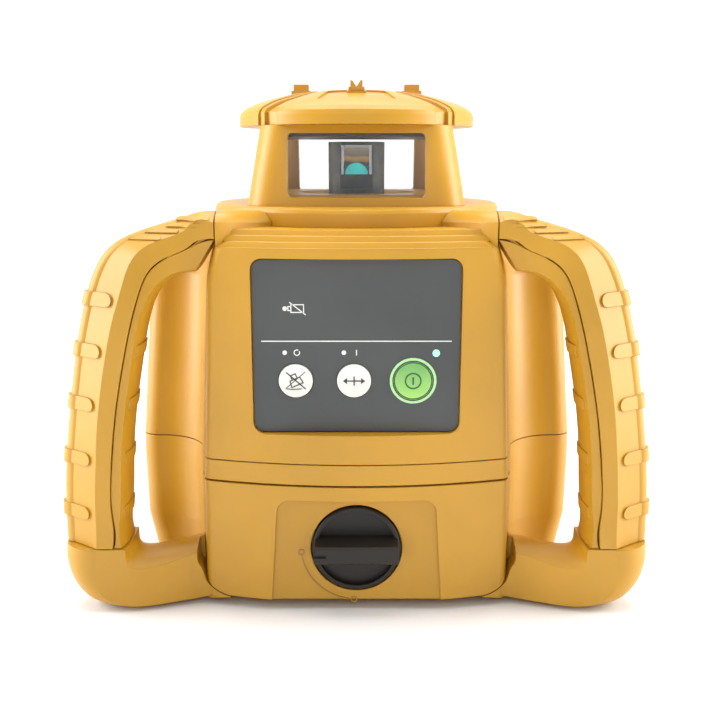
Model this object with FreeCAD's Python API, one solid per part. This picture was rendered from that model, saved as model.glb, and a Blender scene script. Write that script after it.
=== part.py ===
import FreeCAD, Part
import math
import os

os.makedirs("parts", exist_ok=True)
V = FreeCAD.Vector

# Rotating laser level. Millimetres, +Z up, front towards -Y, origin on the ground under the tower axis.

# ---- driving dimensions ----------------------------------------------------------------------------
WIDTH = 253.0            # over both handles, ribs not counted
DEPTH = 182.0            # knob bar to rear wall
BAR_PROUD = 5.0          # knob bar in front of the front face
FRONT = -DEPTH / 2 + BAR_PROUD
REAR = DEPTH / 2
FACE_R = 222.0           # plan radius of the convex front face
WALL = 3.0               # shell thickness
GROUND_GAP = 5.0         # underside of the base shell above the ground
LOW_Z = 28.0             # widest place of the base
COVER_TOP = 58.4         # top edge of the battery cover
SPLIT_Z = 67.2           # joint between base housing and upper housing
COLUMN_Z = 143.0         # where the side columns start to turn into the shoulder
BEND_Z = 149.0           # rounded turn between column and shoulder
FACE_TOP = 157.7         # top edge of the front face
SHOULDER_Z = 164.5       # top of the stepped shoulder
RING_R = 67.5
RING_TOP = 172.5
PLINTH_TOP = 177.0
LINTEL_Z = 203.5
CAGE_TOP = 207.0
LID_R = 55.0
LID_TOP = 223.5
BLADE_TOP = 226.5

SEAM = 0.45              # visible line between neighbouring shells
SLIDE_GAP = 0.6          # clearance round sliding pieces
RUN = 0.05               # radial running fit
SCOOP_CORNER = 8.0

# Half widths of the front face and of the side columns, and the plan line behind the finger scoops.
FRONT_HALF = {"floor": 66.4, "low": 66.2, "cover": 65.8, "split": 65.3, "column": 61.8, "bend": 60.4, "top": 58.0,
              "shoulder": 54.0}
SIDE_HALF = {"floor": 95.0, "low": 99.4, "cover": 99.8, "split": 99.6, "column": 93.0, "bend": 89.6, "top": 82.0,
             "shoulder": 72.0}
SHELF_Y = {"floor": FRONT + 46.0, "low": FRONT + 44.5, "cover": FRONT + 44.0, "split": FRONT + 44.0,
           "column": FRONT + 44.0, "bend": FRONT + 40.0, "top": FRONT + 36.0, "shoulder": FRONT + 31.0}

PANEL_X = 42.6
PANEL_Z = (80.8, 153.1)
PANEL_R = 4.3
PANEL_Y = FRONT + 5.3    # flat keypad surface
PANEL_T = 1.6

COVER_BACK = FRONT + 20.0
CELL_R = 17.1
CELL_LEN = 61.0
BAY_X = CELL_LEN + 5.0
BAY_Y = (COVER_BACK, COVER_BACK + 4 * CELL_R + 9.6)
BAY_Z = (14.5, 14.5 + 2 * CELL_R + 5.9)

TRAY_FRONT = COVER_BACK + 1.3
DOOR_HOLLOW = (BAY_X - 8.0, BAY_Z[0] + 5.5, BAY_Z[1] - 5.6)   # half width, floor and top of the hollow inside the cover

KNOB_Z = 28.7
KNOB_R = 19.0
KNOB_GAP = 0.7
KNOB_BASE = FRONT + 8.5
RECESS_Y = FRONT + 4.2   # flat recess round the knob

BAR_FRONT = FRONT
BAR_BACK = FRONT + 26.0

TILT_Z = 149.0           # crossing point of both levelling axes
TILT_DEG = 5.0
TUBE_R = 21.0
ROTOR_R = 13.4
PIN_R = 2.5
MOTOR_X = 31.0           # drive motor axis beside the tube
BELT_Z = 161.0
ROTOR_PULLEY_R = 11.0
MOTOR_PULLEY_R = 5.5


# ---- helpers ---------------------------------------------------------------------------------------
def box(x0, x1, y0, y1, z0, z1):
    return Part.makeBox(x1 - x0, y1 - y0, z1 - z0, V(x0, y0, z0))


def cyl(r, length, at, axis=(0, 0, 1)):
    return Part.makeCylinder(r, length, V(*at), V(*axis))


def tube(r_out, r_in, length, at, axis=(0, 0, 1)):
    return cyl(r_out, length, at, axis).cut(cyl(r_in, length, at, axis))


def line(a, b):
    return Part.LineSegment(V(*a), V(*b)).toShape()


def arc(a, m, b):
    return Part.Arc(V(*a), V(*m), V(*b)).toShape()


def fuse(shapes):
    out = shapes[0]
    if len(shapes) > 1:
        out = out.multiFuse(shapes[1:]).removeSplitter()
    return out


def mirror_x(shape):
    return shape.mirror(V(0, 0, 0), V(1, 0, 0))


def turned(shape, degrees):
    out = shape.copy()
    out.rotate(V(0, 0, 0), V(0, 0, 1), degrees)
    return out


def spun(points):
    """Solid of revolution about Z from (radius, z) points."""
    ring = Part.makePolygon([V(r, 0, z) for r, z in points + points[:1]])
    return Part.Face(ring).revolve(V(0, 0, 0), V(0, 0, 1), 360)


def prism_xz(points, y0, y1):
    """Front-view outline (x, z) pushed from y0 to y1."""
    ring = Part.makePolygon([V(x, y0, z) for x, z in points + points[:1]])
    return Part.Face(ring).extrude(V(0, y1 - y0, 0))


def rounded(shape, radius, chosen):
    edges = [e for e in shape.Edges if chosen(e)]
    return shape.makeFillet(radius, edges)


def along(edge, axis):
    """True for a straight edge parallel to the axis."""
    if len(edge.Vertexes) < 2:
        return False
    run = edge.Vertexes[-1].Point.sub(edge.Vertexes[0].Point)
    return run.Length > 0.01 and abs(abs(run.dot(V(*axis))) - run.Length) < 0.001 * run.Length


def soft_box(x0, x1, y0, y1, z0, z1, radius, axis):
    """Box with the four edges along one axis rounded."""
    return rounded(box(x0, x1, y0, y1, z0, z1), radius, lambda e: along(e, axis))


def screw(x, y, z, axis, r_head=3.2, head=2.4, r_shank=1.5, length=9.0):
    """Pan-head screw: the head sits on the given point, the shank runs against the axis."""
    a = V(*axis)
    body = Part.makeCylinder(r_head, head, V(x, y, z), a)
    shank = Part.makeCylinder(r_shank, length, V(x, y, z) - a * length, a)
    socket = Part.makeCylinder(r_head * 0.45, head * 0.6, V(x, y, z) + a * (head * 0.4), a)
    return body.fuse(shank).cut(socket)


def save(name, shape):
    shape.exportStep("parts/" + name + ".step")


# ---- body plan -------------------------------------------------------------------------------------
def body_plan(z, level, inset=0.0, set_back=0.0):
    """Plan outline: convex front, finger scoops, side columns, rounded rear."""
    fw = FRONT_HALF[level]
    sw = SIDE_HALF[level]
    front = FRONT + inset + set_back
    rear = REAR - inset - set_back
    corner = 5.0 - inset
    scoop = sw - fw - SCOOP_CORNER - 3.0
    ox = fw + 2.0 + scoop
    shelf = SHELF_Y[level] + inset
    oy = shelf - inset - scoop
    bend = scoop + inset
    rs = SCOOP_CORNER - inset
    rr = 26.0 - inset
    ax = fw - inset - corner * 0.9
    radius = FACE_R - inset
    ay = front + radius - math.sqrt(radius ** 2 - ax ** 2)
    bx = fw - inset
    by = ay + corner * 1.15
    mx = bx - corner * 0.27
    my = ay + corner * 0.33
    cx = ox - bend
    side = sw - inset
    gx = side - 2.0
    gy = rear - rr - 2.0
    hx = gx - rr
    hy = rear - 2.0
    d = math.sqrt(0.5)
    half = [
        ("arc", (ax, ay), (mx, my), (bx, by)),
        ("line", (bx, by), (cx, oy)),
        ("arc", (cx, oy), (ox - bend * d, oy + bend * d), (ox, oy + bend)),
        ("line", (ox, oy + bend), (side - rs, shelf)),
        ("arc", (side - rs, shelf), (side - rs + rs * d, shelf + rs - rs * d), (side, shelf + rs)),
        ("line", (side, shelf + rs), (gx, gy)),
        ("arc", (gx, gy), (gx - rr + rr * d, gy + rr * d), (hx, hy)),
    ]
    edges = [arc((-ax, ay, z), (0, front, z), (ax, ay, z))]
    for kind, *pts in half:
        p = [(x, y, z) for x, y in pts]
        edges.append(arc(*p) if kind == "arc" else line(*p))
    edges.append(arc((hx, hy, z), (0, rear, z), (-hx, hy, z)))
    for kind, *pts in reversed(half):
        p = [(-x, y, z) for x, y in reversed(pts)]
        edges.append(arc(*p) if kind == "arc" else line(*p))
    return Part.Wire(edges)


def body_block(levels, inset=0.0):
    """Stack of ruled blocks through (z, level, set back) stations."""
    wires = [body_plan(z, level, inset, back) for z, level, back in levels]
    return Part.makeLoft(wires, True, True)


# ---- housing shells --------------------------------------------------------------------------------
def upper_solid(inset=0.0):
    """Upper body with its stepped shoulder, unhollowed."""
    outer = body_block([(SPLIT_Z + SEAM, "split", 0.0), (COLUMN_Z, "column", 0.0), (BEND_Z, "bend", 0.0),
                        (FACE_TOP, "top", 0.0)], inset)
    rise = (SHOULDER_Z - FACE_TOP) / 3
    for k in range(3):
        z = FACE_TOP + k * rise
        outer = outer.fuse(body_block([(z, "top", 1.2 + 3.0 * k), (z + rise, "shoulder", 2.6 + 3.0 * k)], inset))
    return outer


def upper_hollow():
    return body_block([(SPLIT_Z, "split", 0.0), (COLUMN_Z - WALL / 2, "column", 0.0),
                       (BEND_Z - WALL / 2, "bend", 0.0), (FACE_TOP - WALL, "top", 0.0)], WALL)


def upper_housing():
    outer = upper_solid()
    hollow = upper_hollow()
    shell = outer.cut(hollow)
    shell = shell.fuse(panel_seat().common(outer))
    shell = shell.cut(panel_pocket())
    shell = shell.cut(cyl(RING_R - 12.0, 20.0, (0, 0, FACE_TOP - 8.0)))
    root = arm_root()
    shell = shell.fuse([root, mirror_x(root)])
    shell = shell.cut(hollow.cut(panel_seat()))
    shell = shell.cut(cyl(RING_R + RUN, 10.0, (0, 0, SHOULDER_Z)))
    return shell


def panel_outline(grow, y0, y1):
    return soft_box(-PANEL_X - grow, PANEL_X + grow, y0, y1, PANEL_Z[0] - grow, PANEL_Z[1] + grow,
                    max(PANEL_R + grow, 1.0), (0, 1, 0))


def panel_pocket():
    """Recess for the keypad, open to the front, with a window for the switch board."""
    recess = panel_outline(0.5, FRONT - 5.0, PANEL_Y + PANEL_T)
    return recess.fuse(panel_outline(-5.0, FRONT, PANEL_Y + 12.0))


def panel_seat():
    """Thickened wall behind the keypad."""
    return panel_outline(4.0, FRONT - 5.0, PANEL_Y + PANEL_T + WALL)


def bay_cut(grow):
    return box(-BAY_X - grow, BAY_X + grow, FRONT - 5.0, BAY_Y[1] + grow, BAY_Z[0] - grow, BAY_Z[1] + grow)


def front_block(z0, z1, back):
    """Everything in front of one depth line, used to split the cover from the shell."""
    return box(-BAY_X - 4.0, BAY_X + 4.0, FRONT - 5.0, back, z0, z1)


def base_solid(inset=0.0):
    return body_block([(GROUND_GAP + inset, "floor", 0.3), (LOW_Z, "low", 0.0), (COVER_TOP, "cover", 0.0),
                       (SPLIT_Z, "split", 0.0)], inset)


def base_housing():
    outer = base_solid()
    hollow = base_solid(WALL)
    frame = fuse([bay_cut(WALL), box(-BAY_X - 3.0, BAY_X + 3.0, FRONT - 5.0, COVER_BACK + 4.0, 0.0, COVER_TOP + 3.0)])
    shell = outer.cut(hollow.cut(frame))
    band_floor = outer.common(box(-WIDTH, WIDTH, FRONT - 5.0, FRONT + 24.0, COVER_TOP, SPLIT_Z))
    shell = shell.fuse(band_floor.cut(hollow))
    shell = shell.cut(bay_cut(0.0))
    shell = shell.cut(front_block(0.0, COVER_TOP, COVER_BACK + 0.4))
    shell = shell.cut(box(-38.0, 38.0, 20.0, 74.0, GROUND_GAP - 1.0, GROUND_GAP + 0.8))
    boss = cyl(24.0, BAY_Z[0] - WALL - GROUND_GAP, (0, 0, GROUND_GAP))
    shell = shell.fuse(boss)
    shell = shell.cut(cyl(PLATE_R + RUN, PLATE_Z[1] + RUN, (0, 0, 0)))
    return shell.cut(box(-13.0, 13.0, COVER_BACK - 9.0, COVER_BACK, COVER_TOP - 1.0, KEEPER_Z[1]))


def housing_gasket():
    outer = body_block([(SPLIT_Z, "split", 0.0), (SPLIT_Z + SEAM, "split", 0.0)], 1.0)
    return outer.cut(body_block([(SPLIT_Z - 1.0, "split", 0.0), (SPLIT_Z + 2.0, "split", 0.0)], WALL - 0.4))


# ---- handles ---------------------------------------------------------------------------------------
# Stations along the handle, front view (x, z) of the right-hand side: inner edge, joint between the two
# halves, crease of the flat front, outer silhouette; then how far the front is set back.
ARM = [
    ((66.2, 147.4), (58.0, 160.6), (58.0, 167.4), (58.0, 171.8), 9.5),
    ((70.0, 146.6), (68.6, 157.2), (69.3, 164.6), (70.8, 169.6), 7.5),
    ((76.2, 144.6), (77.2, 153.4), (81.3, 160.0), (87.8, 164.4), 4.5),
    ((81.0, 140.6), (83.6, 148.2), (89.5, 153.8), (100.0, 158.6), 2.0),
    ((84.8, 133.8), (88.0, 138.6), (94.6, 141.4), (108.6, 147.0), 0.6),
    ((87.6, 125.0), (91.4, 127.4), (99.0, 127.6), (115.0, 127.0), 0.0),
    ((90.6, 110.0), (95.4, 111.0), (103.2, 110.0), (118.8, 109.0), 0.0),
    ((94.6, 88.0), (99.8, 88.6), (107.0, 87.6), (122.4, 86.6), 0.0),
    ((97.0, 66.0), (102.7, 66.0), (109.2, 66.0), (125.2, 65.0), 0.0),
    ((98.4, 46.0), (103.6, 46.0), (110.4, 46.0), (126.4, 46.0), 0.0),
    ((98.8, 30.0), (103.8, 30.0), (111.0, 30.0), (126.5, 30.0), 0.0),
]
# Foot stations: upper front edge, crown of the upper face, lower crease, underside; set back of the front.
FOOT = [
    ((98.8, 29.6), (98.0, 29.6), (111.0, 29.6), (126.5, 29.6), 0.0),
    ((98.4, 24.5), (97.2, 27.6), (112.4, 17.5), (125.6, 15.0), 0.0),
    ((96.0, 21.2), (95.0, 25.9), (109.6, 8.2), (118.4, 4.6), 0.0),
    ((91.0, 20.6), (91.0, 25.2), (101.5, 3.2), (107.0, 0.5), 1.2),
    ((84.0, 21.2), (84.0, 25.6), (88.5, 2.2), (90.0, 0.0), 3.6),
    ((73.0, 23.4), (73.0, 27.0), (73.0, 2.6), (73.0, 0.8), 8.6),
    ((64.0, 24.6), (64.0, 28.2), (64.0, 4.0), (64.0, 2.6), 9.8),
]
ARM_END = ARM[0][1][0]


def wide(x):
    """Station abscissa stretched so that the handle reaches the overall width."""
    return ARM_END + (x - ARM_END) * (WIDTH / 2 - ARM_END) / (126.5 - ARM_END)


def stretched(stations):
    return [tuple((wide(p[0]), p[1]) for p in st[:4]) + (st[4],) for st in stations]


ARM = stretched(ARM)
FOOT = stretched(FOOT)
RIB_Z = (136.7, 115.4, 92.8, 69.1, 45.1)
RIB_OUT = 1.2
RIB_H = 5.8
ARM_RIB_Z = (169.0, 166.5, 164.2, 161.6)
ARM_RIB_H = 1.5
ARM_RIB_OUT = 0.7
BUMP_OUT = 0.6
BUMP_H = 5.0
JOINT = 0.22             # half of the line between the two handle halves
RIDGE_LINE = 0.72        # where the side facet of the grip ends, from crease to silhouette


def pt(p, y):
    return (p[0], y, p[1])


def toward(a, b, d):
    """Point moved by d from a towards b."""
    dx = b[0] - a[0]
    dz = b[1] - a[1]
    run = math.hypot(dx, dz)
    return (a[0] + dx * d / run, a[1] + dz * d / run)


def grip_wire(station, swell=0.0):
    """Outer half: flat front up to the crease, a flat facet, then the rounded outer face."""
    inner, joint, crease, outer, back_off = station
    j = toward(joint, crease, JOINT)
    o = toward(outer, crease, -swell)
    c = toward(crease, outer, swell * 0.4)
    reach = math.hypot(o[0] - c[0], o[1] - c[1])
    g = toward(c, o, reach * RIDGE_LINE)
    f = BAR_FRONT + back_off - swell * 0.5
    b = BAR_BACK + swell * 0.5
    mid = (f + b) / 2
    facet = (b - f) * 0.31
    return Part.Wire([line(pt(j, f), pt(c, f)), line(pt(c, f), pt(g, f + facet)),
                      arc(pt(g, f + facet), pt(o, mid), pt(g, b - facet)), line(pt(g, b - facet), pt(c, b)),
                      line(pt(c, b), pt(j, b)), line(pt(j, b), pt(j, f))])


def inner_wire(station, swell=0.0):
    """Inner half: flat front, bulged finger side."""
    inner, joint, crease, outer, back_off = station
    j = toward(joint, inner, JOINT)
    e = toward(inner, joint, 1.6 - swell)
    i = toward(inner, joint, -swell)
    f = BAR_FRONT + back_off + 0.8
    b = BAR_BACK - 0.8
    return Part.Wire([line(pt(j, f), pt(e, f)), arc(pt(e, f), pt(i, (f + b) / 2), pt(e, b)),
                      line(pt(e, b), pt(j, b)), line(pt(j, b), pt(j, f))])


def foot_wire(station):
    edge, crown, crease, under, back_off = station
    f = BAR_FRONT + back_off
    b = BAR_BACK + back_off * 0.5
    mid = (f + b) / 2
    return Part.Wire([line(pt(edge, f), pt(crease, f)), arc(pt(crease, f), pt(under, mid), pt(crease, b)),
                      line(pt(crease, b), pt(edge, b)), arc(pt(edge, b), pt(crown, mid), pt(edge, f))])


def rib_bar(x0, x1, z, height):
    """Horizontal stadium in front view, wide enough to wrap the whole handle."""
    r = height / 2
    flat = box(x0 + r, x1, BAR_FRONT - 4.0, BAR_BACK + 4.0, z - r, z + r)
    return flat.fuse(cyl(r, BAR_BACK - BAR_FRONT + 8.0, (x0 + r, BAR_FRONT - 4.0, z), (0, 1, 0)))


def crease_x(z):
    """Crease position at one height of the handle."""
    pts = [s[2] for s in ARM]
    for (x0, z0), (x1, z1) in zip(pts[:-1], pts[1:]):
        if z1 <= z <= z0:
            return x0 + (x1 - x0) * (z0 - z) / (z0 - z1)
    return pts[0][0]


def handle_body():
    """Space kept clear round the body where the arm meets it."""
    return upper_solid(-SEAM / 2)


def handle_grip():
    """Right-hand outer grip shell: raised ribs down the bar, thin ribs across the top arm."""
    body = Part.makeLoft([grip_wire(s) for s in ARM], True, False)
    fat = Part.makeLoft([grip_wire(s, RIB_OUT) for s in ARM], True, False)
    for z in RIB_Z:
        body = body.fuse(fat.common(rib_bar(crease_x(z) + 3.0, WIDTH, z, RIB_H)))
    thin = Part.makeLoft([grip_wire(s, ARM_RIB_OUT) for s in ARM], True, False)
    for z in ARM_RIB_Z:
        body = body.fuse(thin.common(rib_bar(crease_x(z) + 1.6, crease_x(z) + 16.0, z, ARM_RIB_H)))
    body = body.cut(handle_body())
    for x, z in SCREW_AT:
        body = body.cut(cyl(SCREW_R + 0.02, 8.0, (x, BAR_BACK - 6.0, z), (0, 1, 0)))
    return body


def handle_inner():
    """Right-hand inner half with finger bumps."""
    body = Part.makeLoft([inner_wire(s) for s in ARM], True, False)
    fat = Part.makeLoft([inner_wire(s, BUMP_OUT) for s in ARM], True, False)
    for z in RIB_Z[1:]:
        body = body.fuse(fat.common(box(60.0, crease_x(z) - 9.0, BAR_FRONT + 4.0, BAR_BACK - 4.0,
                                        z - BUMP_H / 2, z + BUMP_H / 2)))
    return body.cut(handle_body())


def handle_foot():
    """Right-hand lower arm with its toe under the rounded corner of the battery cover."""
    body = Part.makeLoft([foot_wire(s) for s in FOOT], True, False)
    toe = prism_xz([(50.0, GROUND_GAP), (53.0, 4.6), (64.0, 2.6), (73.0, 0.8), (73.0, 24.0), (50.0, 24.0)],
                   FRONT - 5.0, COVER_BACK)
    toe = toe.common(body_block([(0.0, "floor", 0.3), (LOW_Z, "low", 0.0)]))
    behind = box(0.0, WIDTH, COVER_BACK + 0.25, 0.0, 0.0, SPLIT_Z)
    side = box(FRONT_HALF["floor"] + 2.0, WIDTH, FRONT - 5.0, 0.0, 0.0, SPLIT_Z)
    clear = base_solid(-SEAM / 2).common(behind.fuse(side))
    body = body.fuse(toe).cut(clear).cut(cover_front(SEAM))
    return max(body.Solids, key=lambda piece: piece.Volume)


def arm_root():
    """Right-hand fairing that swings back from the arm to the ring."""
    inner, joint, crease, outer, back_off = ARM[0]
    wires = []
    for x, front, back, drop in ((joint[0] - SEAM, BAR_FRONT + back_off, BAR_BACK, 0.0),
                                 (50.0, FRONT + 15.5, FRONT + 34.0, 0.2), (44.0, FRONT + 22.5, FRONT + 40.0, 0.6),
                                 (36.0, FRONT + 29.0, FRONT + 44.0, 1.0)):
        lo = (x, inner[1])
        cr = (x, crease[1] - drop)
        up = (x, outer[1] - drop)
        mid = (front + back) / 2
        wires.append(Part.Wire([line(pt(lo, front), pt(cr, front)), arc(pt(cr, front), pt(up, mid), pt(cr, back)),
                                line(pt(cr, back), pt(lo, back)), line(pt(lo, back), pt(lo, front))]))
    return Part.makeLoft(wires, True, False)


# ---- battery door ----------------------------------------------------------------------------------
COVER_CORNER = [(69.0, 19.2), (66.9, 14.5), (65.6, 10.6), (63.0, 8.0), (59.4, 6.0), (55.6, GROUND_GAP)]
SWING = 22.0             # half width of the slot the latch dog leaves the cover through


def cover_front(grow):
    """Front plate outline of the battery cover with softly waved lower corners."""
    x = FRONT_HALF["cover"] + 4.0
    z1 = COVER_TOP - SEAM * 2 + grow
    wave = [(cx - 0.4 * grow, cz - grow) for cx, cz in COVER_CORNER]
    wave = [(cx + grow, cz) for cx, cz in wave]
    y0 = FRONT - 8.0
    low = GROUND_GAP - 2.0
    edges = []
    for sign in (1, -1):
        curve = Part.BSplineCurve()
        curve.interpolate([V(sign * cx, y0, cz) for cx, cz in wave])
        edges.append(curve.toShape())
        edges.append(line((sign * x, y0, z1), (sign * x, y0, wave[0][1] + 2.0)))
        edges.append(line((sign * x, y0, wave[0][1] + 2.0), (sign * wave[0][0], y0, wave[0][1])))
        edges.append(line((sign * wave[-1][0], y0, wave[-1][1]), (sign * (wave[-1][0] - 4.0), y0, low)))
    edges.append(line((-x, y0, z1), (x, y0, z1)))
    edges.append(line((4.0 - wave[-1][0], y0, low), (wave[-1][0] - 4.0, y0, low)))
    ring = Part.Wire(Part.__sortEdges__(edges))
    return Part.Face(ring).extrude(V(0, COVER_BACK + grow - y0, 0))


def battery_cover():
    cover = base_solid().common(cover_front(0.0))
    x, z0, z1 = DOOR_HOLLOW
    inner = base_solid(4.0).common(box(-x, x, FRONT, COVER_BACK + 1.0, z0, z1))
    cover = cover.cut(inner)
    cover = cover.fuse(base_solid().common(box(-38.0, 38.0, FRONT, KNOB_BASE + 3.0, GROUND_GAP + 1.0,
                                               COVER_TOP - 3.0)))
    recess = prism_xz([(-33.6, 51.2), (33.6, 51.2), (36.7, 4.0), (-36.7, 4.0)], FRONT - 5.0, RECESS_Y)
    recess = rounded(recess, 6.0, lambda e: along(e, (0, 1, 0)) and e.CenterOfMass.z > COVER_TOP / 2)
    cover = cover.cut(recess)
    cover = cover.cut(cyl(KNOB_R + KNOB_GAP, 20.0, (0, KNOB_BASE - 20.0, KNOB_Z), (0, 1, 0)))
    cover = cover.cut(box(-SWING, SWING, KNOB_BASE + 3.0, KNOB_BASE + 7.0, DOOR_HOLLOW[2] - 4.0, COVER_TOP))
    return cover.cut(cyl(5.0 + RUN, 30.0, (0, FRONT, KNOB_Z), (0, 1, 0)))


def battery_tray():
    x = BAY_X - 1.6
    z0 = BAY_Z[0] + SLIDE_GAP
    z1 = BAY_Z[1] - SLIDE_GAP
    tray = box(-x, x, TRAY_FRONT, BAY_Y[1] - 2.0, z0, z1)
    return tray.cut(box(-x + 1.6, x - 1.6, TRAY_FRONT + 2.4, BAY_Y[1] - 3.6, z0 + 1.2, z1 + 1.0))


def cell_centres():
    z = BAY_Z[0] + SLIDE_GAP + 1.4 + CELL_R
    y0 = TRAY_FRONT + 2.7 + CELL_R
    return [(s * (CELL_LEN / 2 + 0.5), y0 + k * (2 * CELL_R + 0.4), z) for k in range(2) for s in (-1, 1)]


def battery_cells():
    cells = []
    for x, y, z in cell_centres():
        start = x - CELL_LEN / 2
        can = rounded(cyl(CELL_R, CELL_LEN - 2.4, (start, y, z), (1, 0, 0)), 1.2, lambda e: True)
        cells.append(can.fuse(cyl(4.8, 2.6, (start + CELL_LEN - 2.6, y, z), (1, 0, 0))))
    return cells


def tray_contacts():
    x = BAY_X - 3.2
    plates = []
    for cx, y, z in cell_centres():
        if cx < 0:
            plates.append(box(-x, -x + 0.7, y - 9.0, y + 9.0, z - 9.0, z + 9.0))
            plates.append(box(x - 0.7, x, y - 9.0, y + 9.0, z - 9.0, z + 9.0))
    return plates


def lock_knob():
    """Disc with two finger pockets either side of a proud tapered grip bar with a pointer slot."""
    face = RECESS_Y - 1.0
    floor = KNOB_BASE - 2.5
    nose = FRONT - BAR_PROUD
    disc = cyl(KNOB_R, KNOB_BASE - face, (0, face, KNOB_Z), (0, 1, 0))
    disc = rounded(disc, 1.2, lambda e: abs(e.CenterOfMass.y - face) < 0.01 and len(e.Vertexes) == 1)
    disc = disc.cut(cyl(KNOB_R - 2.0, 6.0, (0, floor - 6.0, KNOB_Z), (0, 1, 0)))
    profile = [(floor + 0.5, 5.4), (nose + 1.0, 3.9), (nose, 3.0), (nose, -3.0), (nose + 1.0, -3.9),
               (floor + 0.5, -5.4)]
    ring = Part.makePolygon([V(-KNOB_R, y, KNOB_Z + z) for y, z in profile + profile[:1]])
    bar = Part.Face(ring).extrude(V(2 * KNOB_R, 0, 0))
    bar = bar.common(cyl(KNOB_R - 0.8, 30.0, (0, nose - 5.0, KNOB_Z), (0, 1, 0)))
    slot = box(-KNOB_R, -KNOB_R + 6.0, nose - 1.0, nose + 1.0, KNOB_Z - 0.7, KNOB_Z + 0.7)
    stem = cyl(5.0, 7.0, (0, KNOB_BASE - 0.5, KNOB_Z), (0, 1, 0))
    return disc.fuse(bar).cut(slot).fuse(stem)


def latch_cam():
    """Cam behind the cover plate whose dog points up when locked."""
    y = KNOB_BASE + 3.6
    hub = tube(8.0, 5.0, 2.4, (0, y, KNOB_Z), (0, 1, 0))
    dog = soft_box(-3.5, 3.5, y, y + 2.4, KNOB_Z + 6.0, COVER_TOP - SEAM, 1.5, (0, 1, 0))
    return hub.fuse(dog)


# ---- tower and lid ---------------------------------------------------------------------------------
def top_ring():
    hole = 28.0
    relief = MOTOR_X + MOTOR_PULLEY_R + 10.0
    roof = SHOULDER_Z + 3.6
    pts = [(hole, roof), (relief, roof), (relief, SHOULDER_Z), (RING_R, SHOULDER_Z), (RING_R, RING_TOP - 2.2), (RING_R - 0.7, RING_TOP - 0.7),
           (RING_R - 2.2, RING_TOP), (hole, RING_TOP)]
    plinth = Part.makeLoft([cage_wire(RING_TOP, CAGE_BOTTOM_HALF - CAGE_WALL - 0.2),
                            cage_wire(PLINTH_TOP, CAGE_BOTTOM_HALF - CAGE_WALL - 3.0)], True, True)
    ring = spun(pts).fuse(plinth)
    skirt = tube(RING_R - 12.3, RING_R - 15.0, 4.0, (0, 0, SHOULDER_Z - 4.0))
    return ring.fuse(skirt).cut(cyl(hole, 30.0, (0, 0, SHOULDER_Z - 10.0)))


CAGE_BOTTOM_HALF = 48.3
CAGE_TOP_HALF = 42.6
CAGE_CORNER = 12.0
CAGE_WALL = 5.5
WINDOW_X = 30.0
WINDOW_Z = (176.2, LINTEL_Z)


def cage_wire(z, half):
    """Rounded square in plan."""
    r = min(CAGE_CORNER, half * 0.4)
    c = half - r
    d = r * math.sqrt(0.5)
    edges = []
    for k in range(4):
        a = math.radians(90.0 * k)
        pts = [(half, -c), (half, c), (c + d, c + d), (c, half)]
        p = [(x * math.cos(a) - y * math.sin(a), x * math.sin(a) + y * math.cos(a), z) for x, y in pts]
        edges.append(line(p[0], p[1]))
        edges.append(arc(p[1], p[2], p[3]))
    return Part.Wire(edges)


def cage_block(z0, z1, inset):
    """Tapered square block following the cage faces between two heights."""
    slope = (CAGE_TOP_HALF - CAGE_BOTTOM_HALF) / (CAGE_TOP - RING_TOP)
    halves = [CAGE_BOTTOM_HALF + slope * (z - RING_TOP) - inset for z in (z0, z1)]
    return Part.makeLoft([cage_wire(z0, halves[0]), cage_wire(z1, halves[1])], True, True)


def window_prism(shrink):
    """Opening through front and rear faces."""
    return soft_box(-WINDOW_X + shrink, WINDOW_X - shrink, -70.0, 70.0, WINDOW_Z[0] + shrink,
                    WINDOW_Z[1] - shrink, 2.0, (0, 1, 0))


def tower_cage():
    walls = cage_block(RING_TOP, CAGE_TOP, 0.0).cut(cage_block(RING_TOP - 0.5, CAGE_TOP + 0.5, CAGE_WALL))
    hole = window_prism(0.0)
    return walls.cut(hole.fuse(turned(hole, 90.0)))


def window_pane(degrees):
    pane = cage_block(RING_TOP, CAGE_TOP, 1.6).cut(cage_block(RING_TOP - 0.5, CAGE_TOP + 0.5, 3.6))
    pane = pane.common(window_prism(0.05)).common(box(-40, 40, -70, 0, 170, 210))
    return turned(pane, degrees)


def ceiling_plate():
    """Dark plate closing the cage under the lid, recessed over the rotor."""
    plate = cage_block(LINTEL_Z - 1.5, CAGE_TOP, CAGE_WALL + 0.05)
    return plate.cut(cyl(22.0, 2.2, (0, 0, LINTEL_Z - 1.5)))


DOME = [(LID_R, 211.2), (54.5, 213.0), (52.6, 214.9), (46.0, 217.8), (38.0, 220.1), (30.0, 221.9), (20.0, 223.1),
        (0.0, LID_TOP)]
RIDGE_W = 3.4
RIDGE_AT = 4.6
CHANNEL = RIDGE_AT + RIDGE_W / 2 + 0.15   # half width of the diagonal channels between the pads


def dome(drop, radius):
    """Domed disc from the cage top up to the lid surface lowered by drop."""
    pts = [(min(r, radius), z - drop) for r, z in DOME]
    curve = Part.BSplineCurve()
    curve.interpolate([V(r, 0, z) for r, z in pts[2:]])
    side = [(0.0, CAGE_TOP), (radius, CAGE_TOP), (radius, pts[0][1]), pts[1], pts[2]]
    edges = [line((a[0], 0, a[1]), (b[0], 0, b[1])) for a, b in zip(side[:-1], side[1:])
             if math.hypot(a[0] - b[0], a[1] - b[1]) > 0.001]
    edges += [curve.toShape(), line((0, 0, pts[-1][1]), (0, 0, CAGE_TOP))]
    return Part.Face(Part.Wire(edges)).revolve(V(0, 0, 0), V(0, 0, 1), 360)


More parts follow.
